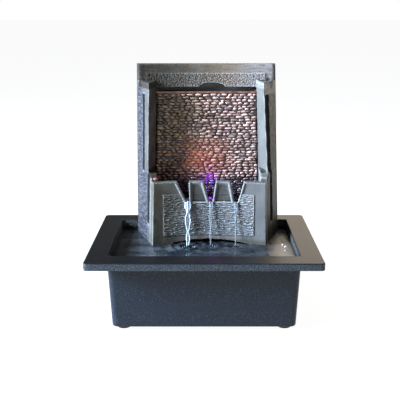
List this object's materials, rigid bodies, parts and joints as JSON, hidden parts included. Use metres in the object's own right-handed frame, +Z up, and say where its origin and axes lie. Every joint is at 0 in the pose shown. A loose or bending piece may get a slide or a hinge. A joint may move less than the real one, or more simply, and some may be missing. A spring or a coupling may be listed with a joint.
{
  "type": "tabletop water fountain",
  "caption": "Rectangular basin on feet with a slate-look tower: water runs down a lit stacked-stone panel into an upper pool and pours through a notched weir into the basin.",
  "frame": {"origin": "on the table, under the centre of the basin's rim", "axes": "+Z up, +Y to the back, +X to the right as seen from the front"},
  "size_m": [0.2228, 0.163, 0.248],
  "materials": {
    "basin_plastic": "fine grained moulded plastic",
    "foot_rubber": "matt rubber",
    "slate_resin": "slate-look resin, dark with dry-brushed light edges",
    "stacked_stone": "stacked-stone relief in copper brown, wet",
    "rear_plastic": "matt moulded plastic",
    "pump_plastic": "black moulded plastic",
    "clear_hose": "clear flexible hose",
    "core_steel": "laminated electrical steel",
    "copper_wire": "enamelled copper winding",
    "potting": "cast black resin",
    "seal_rubber": "soft black rubber",
    "shaft_steel": "ground stainless steel",
    "impeller_plastic": "white moulded plastic",
    "ferrite": "sintered ferrite",
    "sponge": "open-cell foam",
    "dial_plastic": "blue moulded plastic",
    "lamp_plastic": "black moulded plastic",
    "lamp_glass": "clear moulded lens",
    "lamp_board": "white solder mask",
    "led_light": "violet lamp, lit",
    "lead_pvc": "black sheath",
    "screw_steel": "zinc-plated steel",
    "water": "clear water"
  },
  "bodies": {
    "root": {"basin": "basin_plastic", "rubber_feet": "foot_rubber", "pump_housing": "pump_plastic", "stator_core": "core_steel", "stator_coil": "copper_wire", "motor_potting": "potting", "volute_cover": "pump_plastic", "volute_seal": "seal_rubber", "rotor_shaft": "shaft_steel", "shaft_bushes": "seal_rubber", "suction_cups": "seal_rubber", "cord_gland": "seal_rubber"},
    "tower": {"tower_shell": "slate_resin", "weir_wall": "slate_resin", "pool_tray": "slate_resin", "cascade_panel": "stacked_stone", "spill_trough": "stacked_stone", "rear_cover": "rear_plastic", "rear_cover_screws": "screw_steel", "tower_pads": "foot_rubber", "riser_tube": "clear_hose", "tube_clips": "rear_plastic", "lamp_housing": "lamp_plastic", "lamp_gasket": "seal_rubber", "lamp_lens": "lamp_glass", "lamp_board": "lamp_board", "lamp_leds": "led_light", "lamp_gland": "seal_rubber", "lamp_lead": "lead_pvc", "lamp_connector": "lamp_plastic", "connector_clip": "rear_plastic"},
    "impeller": {"impeller": "impeller_plastic", "rotor_magnet": "ferrite"},
    "intake": {"intake_cover": "pump_plastic", "filter_sponge": "sponge"},
    "flow_dial": {"flow_dial": "dial_plastic"}
  },
  "joints": [
    {"name": "head_lift", "type": "slide", "parent": "root", "child": "tower", "axis": [0, 0, 1], "range_m": [0, 0.09]},
    {"name": "impeller_spin", "type": "hinge", "parent": "root", "child": "impeller", "pos_m": [0, 0.042, 0.031], "axis": [1, 0, 0], "continuous": true},
    {"name": "intake_cover_pull", "type": "slide", "parent": "root", "child": "intake", "axis": [1, 0, 0], "range_m": [0, 0.016]},
    {"name": "flow_dial_turn", "type": "hinge", "parent": "intake", "child": "flow_dial", "pos_m": [0.02, 0.042, 0.031], "axis": [1, 0, 0], "range_deg": [0, 90]}
  ]
}
